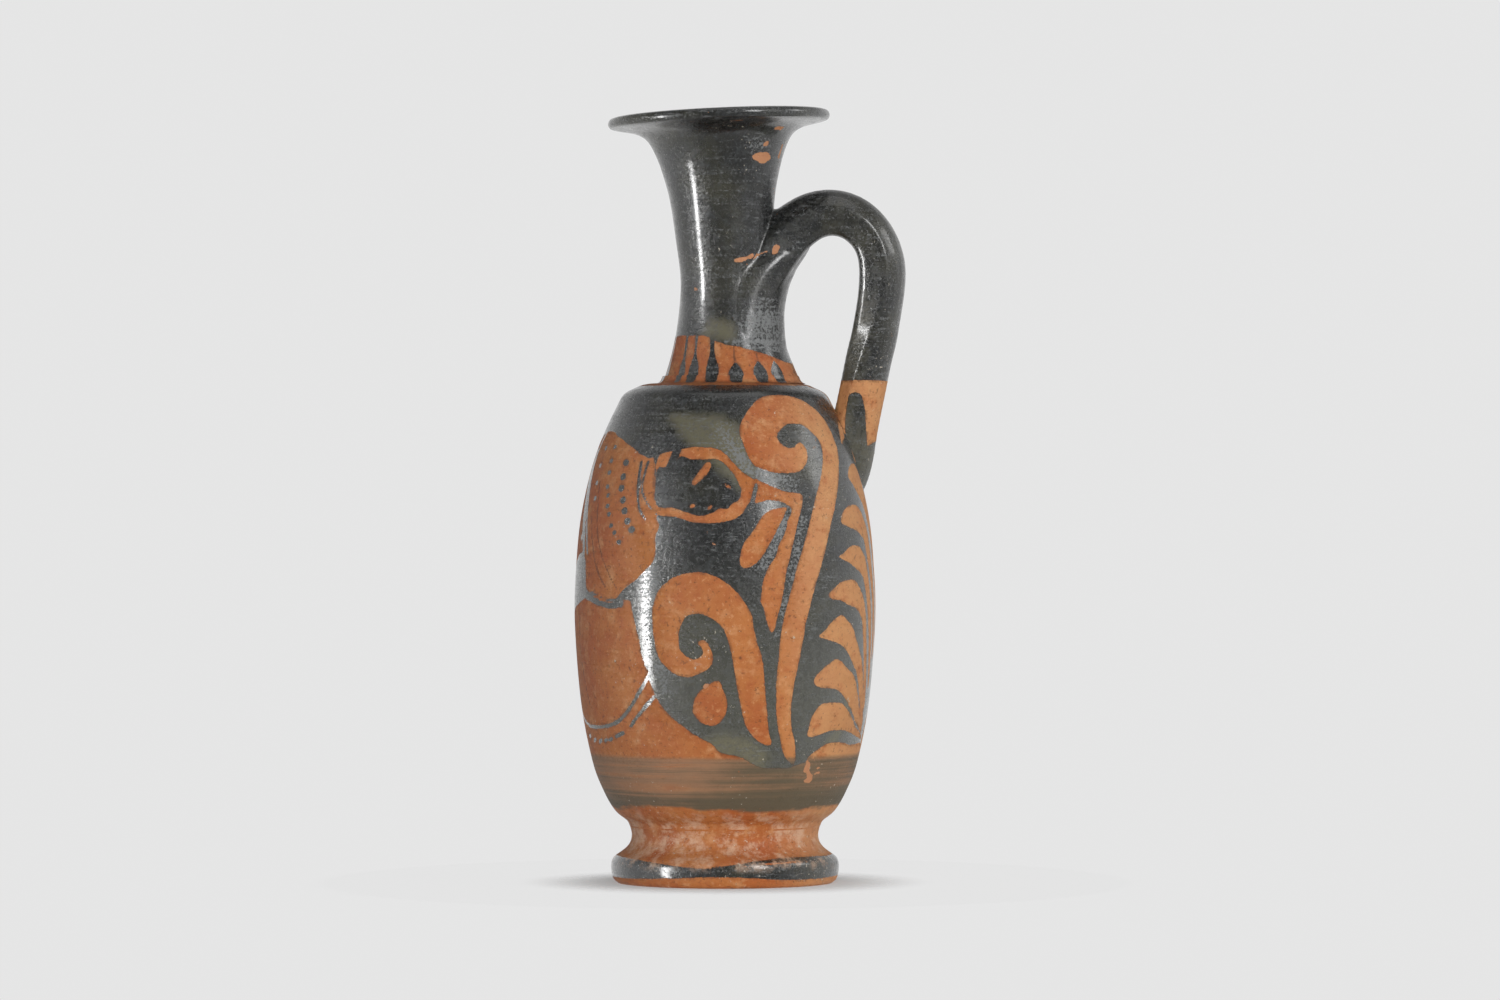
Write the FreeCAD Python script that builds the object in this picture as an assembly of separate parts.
import FreeCAD, Part
import math
import os

from FreeCAD import Rotation, Vector

# A small red-figure oil jug (lekythos), in millimetres, +Z up.
#
# The origin is the centre of the ring that the foot stands on, and +X points at the handle.
# The jug is built as a potter builds it. The foot, the body and the neck with its flaring
# mouth are thrown by themselves, and the handle is a pulled strap. Soft clay and slip, the
# luting, join them. The neck was set on a little off centre and leans away from the handle.

# Joints between the thrown pieces
slip = 0.4                      # thickness of the layer of slip between two joined pieces
overrun = 6.0                   # how far a cutting body runs past what it cuts

# A turned outline is a chain of arcs
long_outline_arcs = 6
outline_arcs = 4
short_outline_arcs = 2

# Foot: a disc with a rolled edge under a short waisted stem, hollow underneath
foot_height = 14.5
foot_rest_radius = 28.0         # outer edge of the ring that touches the ground
foot_edge_radius = 29.7
foot_edge_rise = 4.0            # widest level of the rolled edge
foot_tread_radius = 27.2        # where the roll turns into the stem
foot_tread_rise = 7.9
foot_waist_radius = 24.3
foot_waist_rise = 12.6
foot_top_radius = 24.7
foot_hollow_radius = 19.5
foot_hollow_depth = 6.5

# Shoulder of the rolled edge: (share of the way in, share of the way up to the tread)
foot_roll_shares = ((0.22, 0.62),)
# Flare of the stem: (share of the way in to the waist, share of the way up)
foot_flare_shares = ((0.56, 0.27), (0.90, 0.60))

# Body: closed ovoid wall with a nearly level shoulder
body_height = 114.4             # from its base to the arris round the shoulder
body_base_radius = 24.9
belly_radius = 39.2
belly_rise = 54.0               # widest level, above the body's base
arris_radius = 22.4             # edge between the wall and the shoulder
seat_radius = 19.4              # the level part of the shoulder, which carries the neck
seat_rise = 0.6                 # from the arris up to that level part
body_wall = 4.2
body_floor = 5.0
floor_sweep = 12.0              # height over which the floor turns into the wall
shoulder_wall = 3.8
body_hole_radius = 12.4         # pierced through the shoulder, under the neck

# Swell from base to belly: (share of the rise, share of the swell)
lower_wall_shares = ((0.024, 0.05), (0.072, 0.266), (0.169, 0.476), (0.313, 0.678), (0.604, 0.888))
# Drawing in from belly to arris: (share of the rise, share of the narrowing)
upper_wall_shares = (
    (0.25, 0.03), (0.43, 0.096), (0.60, 0.22), (0.73, 0.363), (0.82, 0.492), (0.905, 0.645),
    (0.965, 0.77),
)
# The floor's sweep into the wall: (share of the way out, share of the way up)
floor_shares = ((0.40, 0.03), (0.80, 0.32))
vault_share = 0.62              # where the vault under the shoulder is level, of the arris's radius

# Neck and mouth, along their own leaning axis
neck_height = 70.0
neck_lean = 2.6                 # degrees, away from the handle
neck_offset = 1.5               # of the neck's foot, towards the handle
neck_base_radius = 17.7
neck_waist_radius = 11.85
neck_waist_rise = 26.8
neck_wall = 3.4                 # at the waist
neck_foot_wall = 4.1
mouth_radius = 28.95
lip_thickness = 2.9             # of the mouth's flat lip
throat_rise = 20.0              # where the straight stretch of the passage starts
throat_length = 12.0

# Drawing in from foot to waist: (share of the rise, share of the narrowing)
neck_foot_shares = ((0.12, 0.17), (0.32, 0.48), (0.61, 0.785))
# Flare from waist to lip: (share of the rise, share of the flare)
neck_flare_shares = (
    (0.26, 0.048), (0.52, 0.118), (0.71, 0.227), (0.84, 0.342), (0.925, 0.47), (0.968, 0.66),
)
# Funnel from the lip down to the throat: (share of its width, share of its depth)
funnel_shares = ((0.70, 0.028), (0.455, 0.115), (0.285, 0.255), (0.15, 0.50), (0.055, 0.77))
# Passage from the throat down to the neck's foot: (share of the widening, share of the depth)
passage_foot_shares = ((0.27, 0.47),)

# Bead of slip smoothed round the neck's foot
bead_width = 1.3
bead_height = 1.6

# Handle: a pulled strap with an arched back, which thins and twists on its way down
handle_width = 14.4
handle_thickness = 13.0         # at the upper root
handle_thickness_low = 7.2      # at the lower root
handle_arch = 3.8               # height of the arched back over the strap's edges, at the upper root
handle_arch_low = 2.4
handle_corner_radius = 1.8      # along the two inner edges
handle_twist = -33.0            # degrees from the upper root to the lower
strap_stations = 12             # lengths of strap between the outlines that shape it

# Route of the strap's centre line
upper_root_rise = 21.5          # it starts on the neck's axis, this far up the neck
crown_reach = 29.8              # of its highest point, from the body's axis
crown_rise = 23.0               # of its highest point, above its start
bend_reach = 42.0               # of its furthest point, from the body's axis
bend_drop = 17.0                # from its highest point down to its furthest
lower_root_drop = 28.0          # from the arris down to its end
lower_root_depth = 9.0          # of its end, inside the body's outline

# Stretches of the centre line: (share of the way across, share of the way up or down)
root_to_crown_shares = ((0.22, 0.22), (0.56, 0.74))
crown_to_bend_shares = ((0.54, 0.16), (0.90, 0.50))
bend_to_root_shares = ((0.13, 0.25), (0.27, 0.40), (0.47, 0.68), (0.66, 0.87))

# Flare of the strap at its roots
upper_flare_share = 0.30        # over this share of its length
upper_root_spread = 2.4         # at each side
upper_root_swell = 0.6          # inside and on the back
lower_flare_share = 0.22
lower_root_spread = 1.4
lower_root_swell = 0.5

# Luting clay round the handle's roots, thickest at the root
upper_collar = 2.2
upper_collar_shares = (0.0, 1.0, 0.72)
lower_collar = 1.1
lower_collar_shares = (0.4, 0.85, 1.0)
collar_lip = 0.35               # thickness of a collar where it ends on the strap

# Web of clay smoothed down the neck under the upper root
web_foot_rise = 8.8             # where it starts, above the neck's foot
web_height = 24.0
web_reach = 20.4                # of its outer face at the top, from the body's axis
web_width = 20.0
# (share of its height, share of its reach, share of its width)
web_shares = (
    (0.0, 0.72, 0.45), (0.30, 0.747, 0.80), (0.58, 0.785, 0.95), (0.80, 0.86, 1.0), (1.0, 0.98, 0.92),
)

UP = Vector(0, 0, 1)
OUT = Vector(1, 0, 0)
ACROSS = Vector(0, 1, 0)
ORIGIN = Vector(0, 0, 0)
FULL_TURN = 360.0


def at(radius, height):
    """A point of a profile, which is drawn in the XZ plane."""
    return Vector(radius, 0, height)


def between(start, end, shares):
    """Points between two others, each by its share across and its share up or down."""
    across, rise = end.x - start.x, end.z - start.z
    return [at(start.x + out * across, start.z + up * rise) for out, up in shares]


def curve(points, start=None, end=None):
    """A smooth curve through points, with its directions at the ends where they are given."""
    made = Part.BSplineCurve()
    if start is None:
        made.interpolate(points)
    else:
        made.interpolate(Points=points, InitialTangent=start, FinalTangent=end)
    return made


def arcs(outline, count):
    """An outline as a chain of equally long arcs."""
    points = outline.discretize(Number=2 * count + 1)
    return [Part.Arc(*points[first:first + 3]).toShape() for first in range(0, 2 * count, 2)]


def lines(points):
    return [Part.LineSegment(a, b).toShape() for a, b in zip(points, points[1:])]


def turned(edges):
    """The solid that a closed profile sweeps round the Z axis."""
    face = Part.Face(Part.Wire(edges))
    return face.revolve(ORIGIN, UP, FULL_TURN)


def lofted(outlines):
    """The solid through closed outlines, with its skin facing outwards."""
    solid = Part.makeLoft(outlines, True, False)
    if solid.Volume < 0:
        solid.reverse()
    return solid


def shifted(made, distance):
    """The curve moved sideways, to its left, as a curve through as many points."""
    moved = []
    for knot in made.getKnots():
        along = made.tangent(knot)[0]
        moved.append(made.value(knot) + Vector(-along.z, 0, along.x) * distance)
    return curve(moved)


def radius_at(profile, height):
    """How far out a profile is at a height."""
    level = Part.Line(at(0, height), at(belly_radius, height))
    return profile.intersectCC(level)[0].X


# Heights that follow from the sizes above
body_base = foot_height + slip
belly_height = body_base + belly_rise
arris_height = body_base + body_height
seat_height = arris_height + seat_rise
neck_foot = at(neck_offset, seat_height + slip)


# Foot

def foot():
    rest = at(foot_rest_radius, 0)
    edge = at(foot_edge_radius, foot_edge_rise)
    tread = at(foot_tread_radius, foot_tread_rise)
    waist = at(foot_waist_radius, foot_waist_rise)
    top = at(foot_top_radius, foot_height)
    middle_top = at(0, foot_height)
    hollow_top = at(0, foot_hollow_depth)
    hollow_edge = at(foot_hollow_radius, 0)
    inwards = (waist - tread).normalize()
    roll = [edge] + between(edge, tread, foot_roll_shares) + [tread]
    stem = [tread] + between(tread, waist, foot_flare_shares) + [waist, top]
    edges = lines([middle_top, hollow_top])
    edges += arcs(curve([hollow_top, hollow_edge], OUT, OUT - UP), short_outline_arcs)
    edges += lines([hollow_edge, rest])
    edges += arcs(curve([rest, edge], OUT, UP), short_outline_arcs)
    edges += arcs(curve(roll, UP, inwards), short_outline_arcs)
    edges += arcs(curve(stem, inwards, top - waist), outline_arcs)
    edges += lines([top, middle_top])
    return turned(edges)


def foot_luting():
    """The layer of slip between foot and body."""
    low, high = at(foot_top_radius, foot_height), at(body_base_radius, body_base)
    return turned(lines([at(0, foot_height), low, high, at(0, body_base), at(0, foot_height)]))


# Body

def wall_curve():
    """The body's outline, from its base up to the arris."""
    base = at(body_base_radius, body_base)
    belly = at(belly_radius, belly_height)
    arris = at(arris_radius, arris_height)
    lower = [(swell, rise) for rise, swell in lower_wall_shares]
    upper = [(narrowing, rise) for rise, narrowing in upper_wall_shares]
    return curve([base] + between(base, belly, lower) + [belly] + between(belly, arris, upper) + [arris])


def inside_curve():
    """The body's inside: a floor that sweeps into the wall, and a vault under the shoulder."""
    floor = body_base + body_floor
    vault = seat_height - shoulder_wall
    wall = shifted(wall_curve(), body_wall)
    sides = [wall.value(knot) for knot in wall.getKnots()]
    sides = [side for side in sides if floor + floor_sweep < side.z < vault - shoulder_wall]
    sweep_top = at(sides[0].x, floor + floor_sweep)
    points = [at(0, floor)] + between(at(0, floor), sweep_top, floor_shares) + sides
    points.append(at(vault_share * arris_radius, vault))
    return curve(points, OUT, -OUT)


def body_envelope(coat=0.0):
    """The body without its hollow, under a coat of slip, for fitting pieces to its outside."""
    wall = shifted(wall_curve(), -coat) if coat else wall_curve()
    base, arris = wall.value(wall.FirstParameter), wall.value(wall.LastParameter)
    seat = seat_height + coat
    edges = arcs(wall, long_outline_arcs)
    edges += lines([arris, at(seat_radius, seat), at(0, seat), at(0, base.z), base])
    return turned(edges)


def body_hole(low, high):
    """What is pierced through the shoulder between two heights."""
    return Part.makeCylinder(body_hole_radius, high - low, at(neck_offset, low))


def body():
    inside = inside_curve()
    floor, vault = inside.value(inside.FirstParameter), inside.value(inside.LastParameter)
    hollow = turned(arcs(inside, long_outline_arcs) + lines([vault, at(0, vault.z), floor]))
    hole = body_hole(vault.z - overrun, seat_height + overrun)
    return body_envelope().cut(hollow).cut(hole)


# Neck and mouth

def leaned(shape):
    """Sets a piece that was turned about Z on the neck's own axis."""
    shape.rotate(ORIGIN, ACROSS, -neck_lean)
    shape.translate(neck_foot)
    return shape


def on_neck_axis(rise):
    """A point of the neck's axis."""
    lean = math.radians(neck_lean)
    return neck_foot + at(-rise * math.sin(lean), rise * math.cos(lean))


def neck_root():
    """Length added under the leaning neck, which its level seat trims off."""
    return 2 * neck_base_radius * math.sin(math.radians(neck_lean)) + slip


def under_neck():
    """Everything under the level plane that the neck stands on."""
    size = 2 * (belly_radius + overrun)
    return Part.makeBox(size, size, size, Vector(-size / 2, -size / 2, neck_foot.z - size))


def neck_curves():
    """The outline from the neck's foot up to its waist, and from there to the lip."""
    base = at(neck_base_radius, 0)
    waist = at(neck_waist_radius, neck_waist_rise)
    lip = at(mouth_radius - lip_thickness / 2, neck_height - lip_thickness)
    foot_part = [(narrowing, rise) for rise, narrowing in neck_foot_shares]
    flare_part = [(flare, rise) for rise, flare in neck_flare_shares]
    lower = [base] + between(base, waist, foot_part) + [waist]
    upper = [waist] + between(waist, lip, flare_part) + [lip]
    return curve(lower, lower[1] - base, UP), curve(upper, UP, OUT)


def lip_arc():
    """The half-round edge of the lip."""
    middle = at(mouth_radius - lip_thickness / 2, neck_height - lip_thickness / 2)
    half = lip_thickness / 2
    return Part.Arc(middle - UP * half, middle + OUT * half, middle + UP * half)


def neck_envelope(coat=0.0):
    """The neck up to its lip and without its passage, under a coat of slip, for fitting pieces
    to its outside."""
    lower, upper = neck_curves()
    if coat:
        lower, upper = shifted(lower, -coat), shifted(upper, -coat)
    base, lip = lower.value(lower.FirstParameter), upper.value(upper.LastParameter)
    root = at(base.x, -neck_root())
    edges = arcs(lower, short_outline_arcs) + arcs(upper, outline_arcs)
    edges += lines([lip, at(lip.x, neck_height), at(0, neck_height), at(0, root.z), root, base])
    return leaned(turned(edges))


def passage_edges(top, low):
    """The passage: a funnel from the lip, a straight throat and a wider foot."""
    throat = neck_waist_radius - neck_wall
    foot_radius = neck_base_radius - neck_foot_wall
    throat_top = at(throat, throat_rise + throat_length)
    throat_foot = at(throat, throat_rise)
    passage_foot = at(foot_radius, 0)
    funnel = [(1 - width, depth) for width, depth in funnel_shares]
    funnel_points = [top] + between(top, throat_top, funnel) + [throat_top]
    foot_points = [throat_foot] + between(throat_foot, passage_foot, passage_foot_shares) + [passage_foot]
    edges = arcs(curve(funnel_points, -OUT, -UP), outline_arcs)
    edges += lines([throat_top, throat_foot])
    edges += arcs(curve(foot_points, -UP, foot_points[-1] - foot_points[-2]), short_outline_arcs)
    edges += lines([passage_foot, at(foot_radius, low.z), low])
    return edges


def neck():
    lower, upper = neck_curves()
    low = at(neck_base_radius, -neck_root())
    top = at(mouth_radius - lip_thickness / 2, neck_height)
    edges = lines([low, lower.value(lower.FirstParameter)])
    edges += arcs(lower, short_outline_arcs) + arcs(upper, outline_arcs) + [lip_arc().toShape()]
    return leaned(turned(edges + passage_edges(top, low))).cut(under_neck())


def neck_luting():
    """The layer of slip under the neck, and the bead of it smoothed round the neck's foot."""
    edge = at(neck_base_radius + bead_width, 0)
    top = at(neck_base_radius, slip + bead_height)
    edges = arcs(curve([edge, top], UP - OUT, UP), 1)
    edges += lines([top, at(0, top.z), ORIGIN, edge])
    bead = turned(edges)
    bead.translate(neck_foot - UP * slip)
    hole = body_hole(neck_foot.z - overrun, neck_foot.z + overrun)
    return bead.cut(neck_envelope().cut(under_neck())).cut(hole)


# Handle

def handle_line():
    """The strap's centre line, from the neck's axis over the crown into the body's wall."""
    start = on_neck_axis(upper_root_rise)
    crown = at(crown_reach, start.z + crown_rise)
    bend = at(bend_reach, crown.z - bend_drop)
    end_height = arris_height - lower_root_drop
    end = at(radius_at(wall_curve(), end_height) - lower_root_depth, end_height)
    points = [start] + between(start, crown, root_to_crown_shares)
    points += [crown] + between(crown, bend, crown_to_bend_shares)
    points += [bend] + between(bend, end, bend_to_root_shares)
    return curve(points + [end])


def flares_at(share):
    """How far each root has flared at a share of the strap's length, from 0 to 1."""
    upper = max(0, 1 - share / upper_flare_share)
    lower = max(0, 1 - (1 - share) / lower_flare_share)
    return upper ** 2, lower ** 2


def strap_outline(line, share, growth):
    """The strap's outline square to its centre line: flat inside, two sides and an arched back.
    Growth is a layer of clay all round it."""
    place = line.parameterAtDistance(share * line.length(), line.FirstParameter)
    centre, along = line.value(place), line.tangent(place)[0]
    twist = Rotation(along, share * handle_twist)
    sideways, outward = twist.multVec(ACROSS), twist.multVec(Vector(-along.z, 0, along.x))
    upper, lower = flares_at(share)
    half = handle_width / 2 + upper * upper_root_spread + lower * lower_root_spread + growth
    depth = handle_thickness + share * (handle_thickness_low - handle_thickness)
    back = depth / 2 + upper * upper_root_swell + lower * lower_root_swell + growth
    edge = back - handle_arch - share * (handle_arch_low - handle_arch)
    corner = handle_corner_radius + growth
    bend = corner * (1 - math.cos(math.pi / 4))

    def point(side, out):
        return centre + sideways * side + outward * out

    def inner_corner(way):
        start = point(way * half, corner - back)
        return start, point(way * (half - bend), bend - back), point(way * (half - corner), -back)

    near, far = inner_corner(1), inner_corner(-1)
    return Part.Wire([
        Part.Arc(point(-half, edge), point(0, back), point(half, edge)).toShape(),
        Part.LineSegment(point(half, edge), near[0]).toShape(),
        Part.Arc(*near).toShape(),
        Part.LineSegment(near[2], far[2]).toShape(),
        Part.Arc(*reversed(far)).toShape(),
        Part.LineSegment(far[0], point(-half, edge)).toShape(),
    ])


def strap(first, growths):
    """The strap from one of its stations on, under a layer of clay of a growth at each."""
    line = handle_line()
    outlines = [
        strap_outline(line, (first + step) / strap_stations, growth)
        for step, growth in enumerate(growths)
    ]
    return lofted(outlines)


def handle():
    bare = [0.0] * (strap_stations + 1)
    return strap(0, bare).cut(neck_envelope(slip)).cut(body_envelope(slip))


def web():
    """The clay that is smoothed down the neck under the handle."""
    rings = []
    for up, out, wide in web_shares:
        half = wide * web_width / 2
        middle = at(out * web_reach - half, neck_foot.z + web_foot_rise + up * web_height)
        rings.append(Part.Wire(Part.Circle(middle, UP, half).toShape()))
    return lofted(rings)


def handle_upper_luting():
    """The clay round the strap's upper root, with the slip under it and the web."""
    growths = [share * upper_collar for share in upper_collar_shares] + [collar_lip]
    return strap(0, growths).fuse(web()).cut(handle()).cut(neck_envelope())


def handle_lower_luting():
    """The clay round the strap's lower root, with the slip under it."""
    growths = [collar_lip] + [share * lower_collar for share in lower_collar_shares]
    first = strap_stations + 1 - len(growths)
    return strap(first, growths).cut(handle()).cut(body_envelope())


pieces = {
    "foot": foot,
    "foot_luting": foot_luting,
    "body": body,
    "neck": neck,
    "neck_luting": neck_luting,
    "handle": handle,
    "handle_upper_luting": handle_upper_luting,
    "handle_lower_luting": handle_lower_luting,
}

os.makedirs("parts", exist_ok=True)
for name, make in pieces.items():
    shape = make()
    solid = shape.Solids[0]
    solid.exportStep(os.path.join("parts", name + ".step"))
    box = solid.optimalBoundingBox(False)
    print(f"{name}: {len(shape.Solids)} solid, {solid.Volume:.0f} mm3, "
          f"z {box.ZMin:.2f} to {box.ZMax:.2f} mm, valid {solid.isValid()}")
